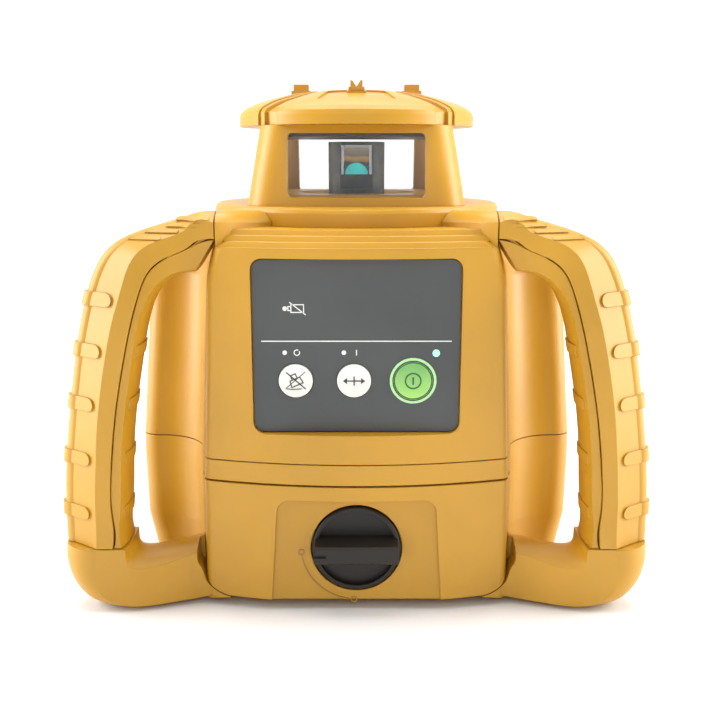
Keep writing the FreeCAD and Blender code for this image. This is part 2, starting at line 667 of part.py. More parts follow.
def pad_sector():
    """Front quarter between the two diagonal channels."""
    reach = LID_R * 1.6
    apex = -CHANNEL * math.sqrt(2.0)
    z = CAGE_TOP - 5.0
    ring = Part.makePolygon([V(0, apex, z), V(-reach, apex - reach, z), V(reach, apex - reach, z), V(0, apex, z)])
    return Part.Face(ring).extrude(V(0, 0, 40))


def lid_crown():
    """Inner dome with the centre boss and pairs of parallel ridges on the diagonals."""
    core = dome(2.2, LID_R - 2.6)
    hub = dome(0.3, LID_R).common(cyl(19.0, 40.0, (0, 0, CAGE_TOP)))
    ridge = dome(0.7, LID_R - 1.0)
    bars = []
    for k in range(4):
        for side in (-1, 1):
            bar = box(side * RIDGE_AT - RIDGE_W / 2, side * RIDGE_AT + RIDGE_W / 2, -LID_R, -14.0,
                      CAGE_TOP, LID_TOP + 2)
            bars.append(turned(bar, 45.0 + 90.0 * k))
    crown = core.fuse(hub).fuse(ridge.common(fuse(bars)))
    return crown.cut(cyl(LID_R - 16.0, 3.0, (0, 0, CAGE_TOP - 1.0))).fuse(cyl(LID_R - 16.0, 2.0, (0, 0, CAGE_TOP)))


def lid_pad(degrees):
    """Raised quarter pad with a shallow trapezoidal pocket."""
    shell = dome(0.0, LID_R).cut(dome(2.2, LID_R - 2.6)).cut(cyl(20.0, 60.0, (0, 0, CAGE_TOP - 5)))
    pad = shell.common(pad_sector())
    pts = [(-17.0, -43.0), (17.0, -43.0), (12.6, -26.0), (-12.6, -26.0)]
    ring = Part.makePolygon([V(x, y, CAGE_TOP) for x, y in pts + pts[:1]])
    pocket = Part.Face(ring).extrude(V(0, 0, 40)).cut(dome(0.8, LID_R))
    pocket = pocket.cut(box(-4.2, 4.2, -31.1, -20.9, CAGE_TOP, BLADE_TOP))
    return turned(pad.cut(pocket), degrees)


def sight_blades():
    """Four small sighting blades; the front and rear ones carry a V notch."""
    blades = []
    for k in range(4):
        blade = box(-2.7, 2.7, -29.5, -22.5, 219.0, BLADE_TOP)
        foot = box(-3.6, 3.6, -30.5, -21.5, 219.0, 223.6)
        notch = prism_xz([(-1.9, BLADE_TOP + 0.1), (1.9, BLADE_TOP + 0.1), (0, BLADE_TOP - 2.8)], -31, -20)
        blade = blade.fuse(foot).cut(notch).cut(dome(-0.02, LID_R))
        blades.append(turned(blade, 90.0 * k))
    return blades


# ---- rotor, optical unit and gimbal ----------------------------------------------------------------
ROTOR_TOP = 200.3
PRISM_X = 6.3
PRISM_Z = (185.3, 198.8)
POST_X = 7.4


def prism_housing():
    """Round head open at front and rear, with two side posts."""
    head = cyl(ROTOR_R, ROTOR_TOP - 174.0, (0, 0, 174.0))
    slot = box(-POST_X, POST_X, -20, 20, 179.0, PRISM_Z[1] + 0.1)
    seat = box(-POST_X, POST_X, -9.5, 9.5, 179.0, PRISM_Z[0])
    return head.cut(slot).fuse(seat).cut(cyl(4.0, 4.0, (0, 0, 173.5))).cut(cyl(3.0, 20.0, (0, 0, 170.0)))


def pentaprism():
    z0 = PRISM_Z[0]
    z1 = PRISM_Z[1]
    pts = [(-9.0, z0), (9.0, z0), (9.0, z1 - 4.0), (4.0, z1), (-9.0, z1)]
    ring = Part.makePolygon([V(-PRISM_X, y, z) for y, z in pts + pts[:1]])
    return Part.Face(ring).extrude(V(2 * PRISM_X, 0, 0))


def beam_window():
    """Half-round exit lens on the front of the prism."""
    lens = cyl(5.3, 1.4, (0, -10.4, PRISM_Z[0] + 0.1), (0, 1, 0))
    return lens.common(box(-6, 6, -12, -8, PRISM_Z[0] + 0.1, 200.0))


def prism_frame():
    """Thin bright frame round the prism face."""
    outer = box(-PRISM_X - 0.9, PRISM_X + 0.9, -9.8, -9.05, PRISM_Z[0], PRISM_Z[1])
    return outer.cut(box(-PRISM_X + 0.3, PRISM_X - 0.3, -11, -8, PRISM_Z[0] - 1, PRISM_Z[1] - 0.8))


def rotor_spindle():
    return tube(4.0, 2.4, 174.0 - 152.0 + 3.5, (0, 0, 152.0))


def rotor_pulley():
    return tube(ROTOR_PULLEY_R, 4.0, 4.0, (0, 0, BELT_Z - 2.0))


def optical_tube():
    """Tube with a clamp for the motor and a slotted head for the pulley."""
    body = tube(TUBE_R, TUBE_R - 3.0, 88.0, (0, 0, 84.0))
    body = body.fuse(cyl(TUBE_R, 3.0, (0, 0, 84.0)))
    floor = tube(TUBE_R - 2.9, 7.5 + RUN, 3.0, (0, 0, 152.5))
    head = tube(TUBE_R - 2.9, 7.5 + RUN, 4.0, (0, 0, 166.0))
    arm = box(15.0, MOTOR_X, -8.0, 8.0, 140.0, 146.0).fuse(cyl(9.5, 6.0, (MOTOR_X, 0, 140.0)))
    body = fuse([body, floor, head, arm])
    body = body.cut(cyl(TUBE_R - 3.0, 66.0, (0, 0, 87.0)).common(cyl(TUBE_R - 3.0, 65.0, (0, 0, 87.0))))
    body = body.cut(box(0, 30, -13.0, 13.0, BELT_Z - 4.0, BELT_Z + 4.0))
    return body.cut(cyl(8.0 + RUN, 20.0, (MOTOR_X, 0, 135.0)))


def unit_pivots():
    return [cyl(PIN_R, 26.0, (0, s * TUBE_R if s > 0 else -TUBE_R - 26.0, TILT_Z), (0, 1, 0)) for s in (1, -1)]


def rotor_bearings():
    return [tube(7.5, 4.0, 3.0, (0, 0, 152.5)), tube(7.5, 4.0, 4.0, (0, 0, 166.0))]


def laser_diode_module():
    return cyl(TUBE_R - 3.0 - RUN, 6.0, (0, 0, 87.0)).fuse(cyl(6.0, 14.0, (0, 0, 93.0)))


def collimator_lens():
    return cyl(TUBE_R - 3.0 - RUN, 4.0, (0, 0, 122.0)).fuse(cyl(9.0, 2.0, (0, 0, 126.0)))


def drive_motor():
    return cyl(8.0, 32.0, (MOTOR_X, 0, 122.0)).cut(cyl(1.6, 12.0, (MOTOR_X, 0, 144.0)))


def motor_pulley():
    return cyl(MOTOR_PULLEY_R, 4.0, (MOTOR_X, 0, BELT_Z - 2.0)).fuse(cyl(1.5, 14.0, (MOTOR_X, 0, BELT_Z - 14.0)))


def drive_belt():
    """Flat belt round both pulleys, held just clear of them."""
    gap = 0.35
    outer = fuse([cyl(ROTOR_PULLEY_R + gap + 1.0, 3.0, (0, 0, BELT_Z - 1.5)),
                  cyl(MOTOR_PULLEY_R + gap + 1.0, 3.0, (MOTOR_X, 0, BELT_Z - 1.5)), belt_sides(gap + 1.0)])
    inner = fuse([cyl(ROTOR_PULLEY_R + gap, 3.0, (0, 0, BELT_Z - 1.5)),
                  cyl(MOTOR_PULLEY_R + gap, 3.0, (MOTOR_X, 0, BELT_Z - 1.5)), belt_sides(gap)])
    return outer.cut(inner)


def belt_sides(grow):
    r0 = ROTOR_PULLEY_R + grow
    r1 = MOTOR_PULLEY_R + grow
    lean = math.asin((r0 - r1) / MOTOR_X)
    s = math.sin(lean)
    c = math.cos(lean)
    pts = [(r0 * s, r0 * c), (MOTOR_X + r1 * s, r1 * c), (MOTOR_X + r1 * s, -r1 * c), (r0 * s, -r0 * c)]
    ring = Part.makePolygon([V(x, y, BELT_Z - 1.5) for x, y in pts + pts[:1]])
    return Part.Face(ring).extrude(V(0, 0, 3.0))


def tilt_vials():
    """Two bubble vials strapped to the tube, across each other."""
    a = cyl(3.0, 20.0, (-TUBE_R - 3.2, -10.0, 128.0), (0, 1, 0))
    b = cyl(3.0, 20.0, (-10.0, -TUBE_R - 3.2, 128.0), (1, 0, 0))
    pads = [box(-TUBE_R - 3.0, -TUBE_R + 1.0, -9.0, 9.0, 124.0, 126.0).cut(cyl(TUBE_R, 9, (0, 0, 120))),
            box(-9.0, 9.0, -TUBE_R - 3.0, -TUBE_R + 1.0, 124.0, 126.0).cut(cyl(TUBE_R, 9, (0, 0, 120)))]
    return [a.fuse(pads[0]), b.fuse(pads[1])]


RING_IN = 41.0
RING_OUT = 47.0
SECTOR_R = 56.0
ROLLER_R = 5.0
ROLLER_GAP = 0.35
SECTOR_HALF_DEG = 9.0
ROLLER_Z = TILT_Z - SECTOR_R - ROLLER_R - ROLLER_GAP


def sector(x0, x1):
    """Hanging arc plate about the X axis through the tilt point, with its spoke."""
    plate = tube(SECTOR_R, SECTOR_R - 6.0, x1 - x0, (x0, 0, TILT_Z), (1, 0, 0))
    a = math.radians(SECTOR_HALF_DEG)
    reach = SECTOR_R * 1.5
    ring = Part.makePolygon([V(x0, 0, TILT_Z), V(x0, -reach * math.sin(a), TILT_Z - reach * math.cos(a)),
                             V(x0, reach * math.sin(a), TILT_Z - reach * math.cos(a)), V(x0, 0, TILT_Z)])
    return plate.common(Part.Face(ring).extrude(V(x1 - x0, 0, 0)))


def gimbal_ring():
    """Ring carrying the tilt pins of the unit, a drive sector and the bracket of the second drive."""
    ring = tube(RING_OUT, RING_IN, 7.0, (0, 0, TILT_Z - 3.5))
    spoke = box(-RING_IN - 4.0, -RING_IN - 1.0, -4.0, 4.0, TILT_Z - SECTOR_R + 1.0, TILT_Z)
    ring = ring.fuse([sector(-RING_IN - 4.0, -RING_IN - 1.0), spoke])
    bracket = box(-5.0, 5.0, RING_IN + 1.0, RING_IN + 4.0, ROLLER_Z - 12.0, TILT_Z)
    ring = ring.fuse(bracket)
    for s in (1, -1):
        ring = ring.cut(cyl(PIN_R + RUN, 14.0, (0, s * 44.0 - 7.0, TILT_Z), (0, 1, 0)))
        ring = ring.cut(cyl(PIN_R + RUN, 14.0, (s * 44.0 - 7.0, 0, TILT_Z), (1, 0, 0)))
    return ring.cut(cyl(1.5 + RUN, 6.0, (0, RING_IN, ROLLER_Z), (0, 1, 0)))


def levelling_sector():
    """Drive sector of the optical unit, on its rear side."""
    plate = turned(sector(TUBE_R + 6.0, TUBE_R + 9.0), 90.0)
    spoke = box(-4.0, 4.0, TUBE_R + 6.0, TUBE_R + 9.0, TILT_Z - SECTOR_R + 1.0, 118.0)
    lug = box(-4.0, 4.0, TUBE_R - 1.0, TUBE_R + 6.0, 110.0, 118.0).cut(cyl(TUBE_R, 20.0, (0, 0, 105)))
    return fuse([plate, spoke, lug])


def gimbal_brackets():
    """Two uprights from the chassis, behind the levelling motor, with heads that carry the outer tilt pins."""
    right = fuse([box(54.0, 58.0, 13.0, 21.0, CHASSIS_Z[1], TILT_Z + 4.5),
                  box(46.0, 58.0, 13.0, 21.0, CHASSIS_Z[1], CHASSIS_Z[1] + 3.0),
                  box(54.0, 58.0, -5.0, 21.0, TILT_Z - 6.0, TILT_Z + 4.5),
                  cyl(PIN_R, 12.5, (42.0, 0, TILT_Z), (1, 0, 0))])
    return [right, mirror_x(right)]


CHASSIS_Z = (BAY_Z[1] + WALL, BAY_Z[1] + WALL + 3.0)
BOARD_BACK = REAR - 11.0 # rear face of the main board


def chassis_plate():
    return soft_box(-60.0, 60.0, COVER_BACK + 4.0, BOARD_BACK, CHASSIS_Z[0], CHASSIS_Z[1], 6.0, (0, 0, 1))


def roller(axis_at, axis):
    """Drive roller with its shaft."""
    x, y, z = axis_at
    if axis == "x":
        return cyl(ROLLER_R, 5.0, (x - 2.5, y, z), (1, 0, 0)).fuse(cyl(1.5, 14.0, (x - 11.5, y, z), (1, 0, 0)))
    return cyl(ROLLER_R, 5.0, (x, y - 2.5, z), (0, 1, 0)).fuse(cyl(1.5, 16.5, (x, y, z), (0, 1, 0)))


X_ROLLER = (-RING_IN - 2.5, 0.0, ROLLER_Z)
Y_ROLLER = (0.0, TUBE_R + 7.5, ROLLER_Z)


def x_levelling_motor():
    """Motor on a stand beside the gimbal sector."""
    x = X_ROLLER[0] - 8.0
    can = cyl(9.0, 16.0, (x - 16.0, 0, ROLLER_Z), (1, 0, 0))
    stand = box(x - 14.0, x - 4.0, -8.0, 8.0, CHASSIS_Z[1], ROLLER_Z - 4.0)
    return can.fuse(stand).cut(cyl(1.5 + RUN, 12.0, (x - 6.0, 0, ROLLER_Z), (1, 0, 0)))


def y_levelling_motor():
    """Motor hung from the gimbal bracket."""
    y = RING_IN + 4.0
    can = cyl(9.0, 16.0, (0, y, ROLLER_Z), (0, 1, 0))
    return can.cut(cyl(1.5 + RUN, 6.0, (0, y, ROLLER_Z), (0, 1, 0)))


# ---- electronics and keypad ------------------------------------------------------------------------
KEY_Z = 102.7
KEY_R = 7.1
KEY_X = (-25.2, -1.0)
POWER_X = 23.5
POWER_R = 7.6
POWER_RING = 9.7
KEY_GAP = 0.35
KEY_PROUD = 0.7
BOARD_Y = PANEL_Y + PANEL_T + 3.2
LEDS = [(-29.3, 133.0, 0.95), (-29.6, 114.6, 0.95), (-5.2, 114.6, 0.95)]
POWER_LED = (32.9, 114.4, 1.5)


def keypad_panel():
    panel = panel_outline(0.0, PANEL_Y, PANEL_Y + PANEL_T)
    for x in KEY_X:
        panel = panel.cut(cyl(KEY_R + KEY_GAP, 5.0, (x, PANEL_Y - 1.0, KEY_Z), (0, 1, 0)))
    panel = panel.cut(cyl(POWER_R + KEY_GAP, 5.0, (POWER_X, PANEL_Y - 1.0, KEY_Z), (0, 1, 0)))
    for x, z, r in LEDS + [POWER_LED]:
        panel = panel.cut(cyl(r, 5.0, (x, PANEL_Y - 1.0, z), (0, 1, 0)))
    return panel


def button(x, r):
    """Domed key cap with a flange behind the panel."""
    cap = cyl(r, PANEL_T + KEY_PROUD + 0.6, (x, PANEL_Y - KEY_PROUD, KEY_Z), (0, 1, 0))
    return rounded(cap, 0.45, lambda e: abs(e.CenterOfMass.y - PANEL_Y + KEY_PROUD) < 0.01)


def led(x, z, r):
    return cyl(r, BOARD_Y - PANEL_Y, (x, PANEL_Y - 0.25, z), (0, 1, 0))


def power_bezel():
    return tube(POWER_RING, POWER_R + KEY_GAP, 0.5, (POWER_X, PANEL_Y - 0.5, KEY_Z), (0, 1, 0))


def keypad_board():
    return box(-PANEL_X + 6.0, PANEL_X - 6.0, BOARD_Y, BOARD_Y + 1.6, PANEL_Z[0] + 6.0, PANEL_Z[1] - 6.0)


def dome_switches():
    y = PANEL_Y + PANEL_T + 0.6 + 0.9
    return [cyl(2.6, BOARD_Y - y, (x, y, KEY_Z), (0, 1, 0)) for x in KEY_X + (POWER_X,)]


def main_board():
    return box(-48.0, 48.0, BOARD_BACK - 1.6, BOARD_BACK, CHASSIS_Z[1], 128.0)


def board_parts():
    """Blocks standing on the main board."""
    y = BOARD_BACK - 1.6
    chips = [box(-12.0, 12.0, y - 3.5, y, 92.0, 110.0), box(20.0, 34.0, y - 8.0, y, 70.0, 82.0)]
    for k in range(3):
        chips.append(cyl(4.0, 9.0, (-38.0 + 11.0 * k, y - 9.0, 76.0), (0, 1, 0)))
    return chips


def buzzer():
    return cyl(8.0, 7.0, (36.0, BOARD_BACK - 8.6, 104.0), (0, 1, 0))


def bay_contacts():
    return [box(x - 5.0, x + 5.0, BAY_Y[1] - 1.2, BAY_Y[1], 24.0, 44.0) for x in (-14.0, 14.0)]


KEEPER_Z = (COVER_TOP + 0.2, COVER_TOP + 2.0)


def latch_keeper():
    return box(-13.0, 13.0, COVER_BACK - 9.0, COVER_BACK, *KEEPER_Z)


def tripod_plate():
    """Threaded insert plate under the boss."""
    plate = cyl(PLATE_R, PLATE_Z[1] - PLATE_Z[0], (0, 0, PLATE_Z[0]))
    return plate.cut(cyl(THREAD_R, 30.0, (0, 0, -5.0)))


THREAD_R = 7.15
PLATE_R = 21.0
PLATE_Z = (1.2, 11.2)


def rubber_feet():
    feet = []
    for x, y in ((-62.0, -40.0), (62.0, -40.0), (-62.0, 58.0), (62.0, 58.0)):
        feet.append(cyl(7.0, GROUND_GAP, (x, y, 0)))
    return feet


def cover_gasket():
    """Flat seal between the cover and the tray."""
    x = BAY_X - 1.6
    hx, z0, z1 = DOOR_HOLLOW
    ring = box(-x, x, COVER_BACK + 0.05, TRAY_FRONT - 0.05, BAY_Z[0] + SLIDE_GAP, BAY_Z[1] - SLIDE_GAP)
    return ring.cut(box(-hx - 1.0, hx + 1.0, COVER_BACK - 1.0, TRAY_FRONT + 1.0, z0 - 1.0, z1 + 0.5))


SCREW_AT = ((wide(96.5), 122.0), (wide(106.3), 60.0))
SCREW_R = 1.4


def handle_screws():
    """Screws from behind into the grips, both sides."""
    out = []
    for x, z in SCREW_AT:
        one = screw(x, BAR_BACK, z, (0, 1, 0), 2.8, 1.0, SCREW_R, 5.0)
        out += [one, mirror_x(one)]
    return out


def both(shape):
    return {"right": shape, "left": mirror_x(shape)}


# ---- export ----------------------------------------------------------------------------------------
grips = both(handle_grip())
inners = both(handle_inner())
feet = both(handle_foot())
for side in ("left", "right"):
    save(side + "_handle_grip", grips[side])
    save(side + "_handle_inner", inners[side])
    save(side + "_handle_foot", feet[side])
save("handle_screws", Part.makeCompound(handle_screws()))

save("upper_housing", upper_housing())
save("base_housing", base_housing())
save("housing_gasket", housing_gasket())
save("tripod_plate", tripod_plate())
save("rubber_feet", Part.makeCompound(rubber_feet()))
save("chassis_plate", chassis_plate())
save("main_board", main_board())
save("board_parts", Part.makeCompound(board_parts() + [buzzer()]))
save("bay_contacts", Part.makeCompound(bay_contacts()))
save("latch_keeper", latch_keeper())

save("keypad_panel", keypad_panel())
save("keypad_board", keypad_board())
save("dome_switches", Part.makeCompound(dome_switches()))
save("tilt_button", button(KEY_X[0], KEY_R))
save("manual_button", button(KEY_X[1], KEY_R))
save("power_button", button(POWER_X, POWER_R))
save("power_bezel", power_bezel())
save("indicator_leds", Part.makeCompound([led(*at) for at in LEDS]))
save("power_led", led(*POWER_LED))

save("top_ring", top_ring())
save("tower_cage", tower_cage())
save("window_panes", Part.makeCompound([window_pane(90.0 * k) for k in range(4)]))
save("lid_pads", Part.makeCompound([lid_pad(90.0 * k) for k in range(4)]))
save("ceiling_plate", ceiling_plate())
save("lid_crown", lid_crown())
save("sight_blades", Part.makeCompound(sight_blades()))

save("gimbal_brackets", Part.makeCompound(gimbal_brackets()))
save("gimbal_ring", gimbal_ring())
save("x_levelling_motor", x_levelling_motor())
save("y_levelling_motor", y_levelling_motor())
save("x_drive_roller", roller(X_ROLLER, "x"))
save("y_drive_roller", roller(Y_ROLLER, "y"))
save("optical_tube", fuse([optical_tube(), levelling_sector()] + unit_pivots()))
save("laser_diode_module", laser_diode_module())
save("collimator_lens", collimator_lens())
save("rotor_bearings", Part.makeCompound(rotor_bearings()))
save("drive_motor", drive_motor())
save("drive_belt", drive_belt())
save("tilt_vials", Part.makeCompound(tilt_vials()))
save("motor_pulley", motor_pulley())
save("rotor_spindle", rotor_spindle())
save("rotor_pulley", rotor_pulley())
save("prism_housing", prism_housing())
save("pentaprism", pentaprism())
save("prism_frame", prism_frame())
save("beam_window", beam_window())

save("battery_cover", battery_cover())
save("cover_gasket", cover_gasket())
save("battery_tray", battery_tray())
save("battery_cells", Part.makeCompound(battery_cells()))
save("tray_contacts", Part.makeCompound(tray_contacts()))
save("lock_knob", lock_knob())
save("latch_cam", latch_cam())
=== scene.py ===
import math

import bmesh
import bpy
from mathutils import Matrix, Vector


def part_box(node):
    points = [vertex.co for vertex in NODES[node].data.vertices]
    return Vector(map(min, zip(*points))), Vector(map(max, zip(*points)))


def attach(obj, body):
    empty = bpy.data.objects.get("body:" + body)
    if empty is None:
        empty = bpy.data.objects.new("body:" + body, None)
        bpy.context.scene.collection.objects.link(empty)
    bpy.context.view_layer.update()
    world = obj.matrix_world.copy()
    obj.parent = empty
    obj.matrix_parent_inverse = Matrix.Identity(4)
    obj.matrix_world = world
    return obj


# Rotating laser level: materials, printed keypad marks, small details, light and camera. Metres.

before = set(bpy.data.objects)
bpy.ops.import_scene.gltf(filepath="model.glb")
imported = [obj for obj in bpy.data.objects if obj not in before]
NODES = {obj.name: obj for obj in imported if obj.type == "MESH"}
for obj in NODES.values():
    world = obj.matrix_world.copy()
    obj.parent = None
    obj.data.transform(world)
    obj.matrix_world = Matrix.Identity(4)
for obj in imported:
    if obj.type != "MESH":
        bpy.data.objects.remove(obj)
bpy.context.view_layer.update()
MM = 0.001


# ---- node helpers ----------------------------------------------------------------------------------
class Graph:
    """Small builder for one material's node tree."""

    def __init__(self, name):
        self.mat = bpy.data.materials.new(name)
        self.mat.use_nodes = True
        self.tree = self.mat.node_tree
        self.nodes = self.tree.nodes
        self.shader = self.nodes["Principled BSDF"]
        self.coord = self.nodes.new("ShaderNodeTexCoord").outputs["Object"]

    def link(self, out, socket):
        self.tree.links.new(out, socket)

    def put(self, **values):
        """Sets plain values on the shader's own sockets."""
        for key, value in values.items():
            self.shader.inputs[key.replace("_", " ")].default_value = value

    def noise(self, scale, detail=4.0, rough=0.55, stretch=(1.0, 1.0, 1.0)):
        mapping = self.nodes.new("ShaderNodeMapping")
        mapping.inputs["Scale"].default_value = stretch
        self.link(self.coord, mapping.inputs["Vector"])
        node = self.nodes.new("ShaderNodeTexNoise")
        node.inputs["Scale"].default_value = scale
        node.inputs["Detail"].default_value = detail
        node.inputs["Roughness"].default_value = rough
        self.link(mapping.outputs["Vector"], node.inputs["Vector"])
        return node.outputs["Fac"]

    def ramp(self, fac, *stops):
        node = self.nodes.new("ShaderNodeValToRGB")
        els = node.color_ramp.elements
        while len(els) < len(stops):
            els.new(0.5)
        for el, (at, colour) in zip(els, stops):
            el.position = at
            el.color = (*colour, 1.0) if len(colour) == 3 else colour
        self.link(fac, node.inputs["Fac"])
        return node.outputs["Color"]

    def span(self, fac, lo, hi, a=0.0, b=1.0):
        node = self.nodes.new("ShaderNodeMapRange")
        for key, value in (("From Min", a), ("From Max", b), ("To Min", lo), ("To Max", hi)):
            node.inputs[key].default_value = value
        self.link(fac, node.inputs["Value"])
        return node.outputs["Result"]

    def math(self, kind, a, b):
        node = self.nodes.new("ShaderNodeMath")
        node.operation = kind
        for socket, value in zip(node.inputs, (a, b)):
            if isinstance(value, (int, float)):
                socket.default_value = value
            else:
                self.link(value, socket)
        return node.outputs["Value"]

    def mix(self, fac, a, b):
        node = self.nodes.new("ShaderNodeMix")
        node.data_type = "RGBA"
        if isinstance(fac, (int, float)):
            node.inputs["Factor"].default_value = fac
        else:
            self.link(fac, node.inputs["Factor"])
        for socket, value in ((node.inputs[6], a), (node.inputs[7], b)):
            if isinstance(value, tuple):
                socket.default_value = (*value, 1.0) if len(value) == 3 else value
            else:
                self.link(value, socket)
        return node.outputs[2]

    def axis(self, name):
        node = self.nodes.new("ShaderNodeSeparateXYZ")
        self.link(self.coord, node.inputs["Vector"])
        return node.outputs[name]

    def bump(self, height, distance, strength=1.0, soft=0.0):
        """Surface relief in metres, over edges softened by the given radius."""
        node = self.nodes.new("ShaderNodeBump")
        node.inputs["Distance"].default_value = distance
        node.inputs["Strength"].default_value = strength
        self.link(height, node.inputs["Height"])
        if soft:
            edge = self.nodes.new("ShaderNodeBevel")
            edge.samples = 4
            edge.inputs["Radius"].default_value = soft
            self.link(edge.outputs["Normal"], node.inputs["Normal"])
        self.link(node.outputs["Normal"], self.shader.inputs["Normal"])

    def colour(self, out):
        self.link(out, self.shader.inputs["Base Color"])

    def rough(self, out):
        self.link(out, self.shader.inputs["Roughness"])


# ---- materials -------------------------------------------------------------------------------------
BODY_YELLOW = (0.525, 0.266, 0.010)


def moulded(name, colour, rough=0.37, grain=0.00004, grain_scale=2600.0, soft=0.0006, specular=0.55):
    """Spark-eroded moulded plastic: fine grain, faint colour drift and scuffs on the outer skin."""
    g = Graph(name)
    drift = g.noise(14.0, 3.0)
    light = tuple(min(1.0, c * 1.06 + 0.004) for c in colour)
    dark = tuple(c * 0.93 for c in colour)
    base = g.ramp(drift, (0.35, dark), (0.65, light))
    scuff = g.noise(55.0, 6.0, 0.7, (1.0, 1.0, 0.25))
    mark = g.span(scuff, 0.0, 0.10, 0.60, 0.78)
    g.colour(g.mix(mark, base, tuple(min(1.0, c * 1.12 + 0.02) for c in colour)))
    fine = g.noise(grain_scale, 2.0, 0.6)
    gloss = g.span(drift, rough - 0.04, rough + 0.05, 0.3, 0.7)
    g.rough(g.math("ADD", gloss, g.math("MULTIPLY", mark, 0.8)))
    g.bump(fine, grain, 1.0, soft)
    g.put(Specular_IOR_Level=specular)
    return g.mat


def glass(name, tint, rough=0.02, alpha=0.05):
    """Thin clear moulding with a faint tint, dust and wipe marks."""
    g = Graph(name)
    dust = g.noise(380.0, 5.0, 0.7)
    wipe = g.noise(30.0, 3.0, 0.5, (1.0, 1.0, 5.0))
    g.colour(g.mix(g.span(dust, 0.0, 0.25, 0.55, 0.8), tint, (0.9, 0.92, 0.93)))
    g.rough(g.span(wipe, rough, rough + 0.05, 0.4, 0.7))
    g.bump(wipe, 0.00001, 0.4)
    g.put(IOR=1.49, Alpha=alpha, Specular_IOR_Level=0.5)
    return g.mat


def metal(name, colour, rough=0.3, brushed=(1.0, 1.0, 1.0), scale=900.0, soft=0.0003):
    """Machined or drawn metal with fine directional marks."""
    g = Graph(name)
    lines = g.noise(scale, 4.0, 0.6, brushed)
    cloud = g.noise(60.0, 3.0)
    g.colour(g.ramp(cloud, (0.3, tuple(c * 0.86 for c in colour)), (0.7, colour)))
    gloss = g.span(lines, rough - 0.07, rough + 0.1, 0.3, 0.7)
    g.rough(g.math("ADD", gloss, g.span(cloud, 0.0, 0.06, 0.4, 0.7)))
    g.bump(lines, 0.00002, 0.7, soft)
    g.put(Metallic=1.0)
    return g.mat


def speckled(name):
    """Rotor finish: dark bronze coat in patches with gold flecks."""
    g = Graph(name)
    fleck = g.noise(1500.0, 3.0, 0.75)
    patch = g.noise(210.0, 4.0, 0.6)
    base = g.ramp(patch, (0.42, (0.005, 0.004, 0.003)), (0.66, (0.060, 0.038, 0.012)))
    g.colour(g.mix(g.span(fleck, 0.0, 0.55, 0.60, 0.74), base, (0.30, 0.21, 0.08)))
    g.rough(g.span(fleck, 0.42, 0.6, 0.3, 0.7))
    g.bump(fleck, 0.00006, 0.8, 0.0004)
    g.put(Metallic=0.1, Specular_IOR_Level=0.25)
    return g.mat


def board(name):
    """Solder-masked circuit board with faint traces."""
    g = Graph(name)
    grid = g.noise(500.0, 1.0, 0.4, (1.0, 1.0, 0.08))
    g.colour(g.ramp(grid, (0.48, (0.008, 0.085, 0.03)), (0.53, (0.02, 0.17, 0.065))))
    g.rough(g.span(grid, 0.25, 0.4, 0.4, 0.6))
    g.bump(grid, 0.00003, 0.6)
    return g.mat


def rubber(name, colour=(0.018, 0.018, 0.019)):
    g = Graph(name)
    dust = g.noise(120.0, 5.0, 0.65)
    g.colour(g.ramp(dust, (0.4, colour), (0.75, tuple(c * 2.2 + 0.01 for c in colour))))
    g.rough(g.span(dust, 0.62, 0.85, 0.3, 0.7))
    g.bump(g.noise(1700.0, 2.0), 0.00005, 0.9, 0.0004)
    return g.mat


def prism(name):
    """Prism block: painted pale reflection above, orange band, dark base line, seen through a polished
    face.
    """
    g = Graph(name)
    z = g.axis("Z")
    lo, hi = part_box("pentaprism")
    up = g.span(z, 0.0, 1.0, lo.z, hi.z)
    haze = g.noise(260.0, 3.0, 0.6, (1.0, 1.0, 0.3))
    warm = g.math("ADD", up, g.span(haze, -0.03, 0.03, 0.3, 0.7))
    dark_base = ((0.0, (0.010, 0.008, 0.006)), (0.40, (0.03, 0.02, 0.01)))
    orange_band = ((0.47, (0.62, 0.30, 0.03)), (0.58, (0.80, 0.47, 0.07)))
    # The pale top band is a painted reflection on the polished face.
    painted_reflection_top = ((0.66, (0.33, 0.27, 0.19)), (1.0, (0.62, 0.55, 0.42)))
    g.colour(g.ramp(warm, *dark_base, *orange_band, *painted_reflection_top))
    g.rough(g.span(haze, 0.05, 0.16, 0.3, 0.7))
    g.put(Coat_Weight=0.8, Coat_Roughness=0.04)
    return g.mat


def lens(name):
    g = Graph(name)
    ripple = g.noise(160.0, 2.0)
    g.colour(g.ramp(ripple, (0.35, (0.0, 0.40, 0.42)), (0.7, (0.03, 0.72, 0.70))))
    g.rough(g.span(ripple, 0.04, 0.1, 0.3, 0.7))
    g.put(Coat_Weight=1.0, Coat_Roughness=0.02)
    # Painted glow: the lens is no lamp but gives off a faint cyan light.
    g.put(Emission_Color=(0.0, 0.75, 0.72, 1.0), Emission_Strength=0.28)
    return g.mat


def key_cap(name, top, bottom, node):
    """Key with painted light and shade, graded upwards from the bottom colour to the top colour, and a soft
    gloss.
    """
    g = Graph(name)
    lo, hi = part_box(node)
    up = g.span(g.axis("Z"), 0.0, 1.0, lo.z, hi.z)
    film = g.noise(90.0, 4.0)
    g.colour(g.ramp(g.math("ADD", up, g.span(film, -0.06, 0.06, 0.3, 0.7)), (0.1, bottom), (0.9, top)))
    g.rough(g.span(film, 0.28, 0.4, 0.3, 0.7))
    g.bump(g.noise(1900.0, 2.0), 0.00001, 0.6, 0.0003)
    g.put(Coat_Weight=0.25, Coat_Roughness=0.2)
    return g.mat


def lit(name, colour, strength):
    g = Graph(name)
    film = g.noise(900.0, 2.0)
    g.colour(g.ramp(film, (0.3, tuple(c * 0.85 for c in colour)), (0.7, colour)))
    g.rough(g.span(film, 0.2, 0.32, 0.3, 0.7))
    g.put(Emission_Color=(*colour, 1.0), Emission_Strength=strength)
    return g.mat


CELL_LEFT = 0.0615          # from the middle of the bay to the left end of the cells
CELL_PITCH = 0.062          # one cell and the gap to the next


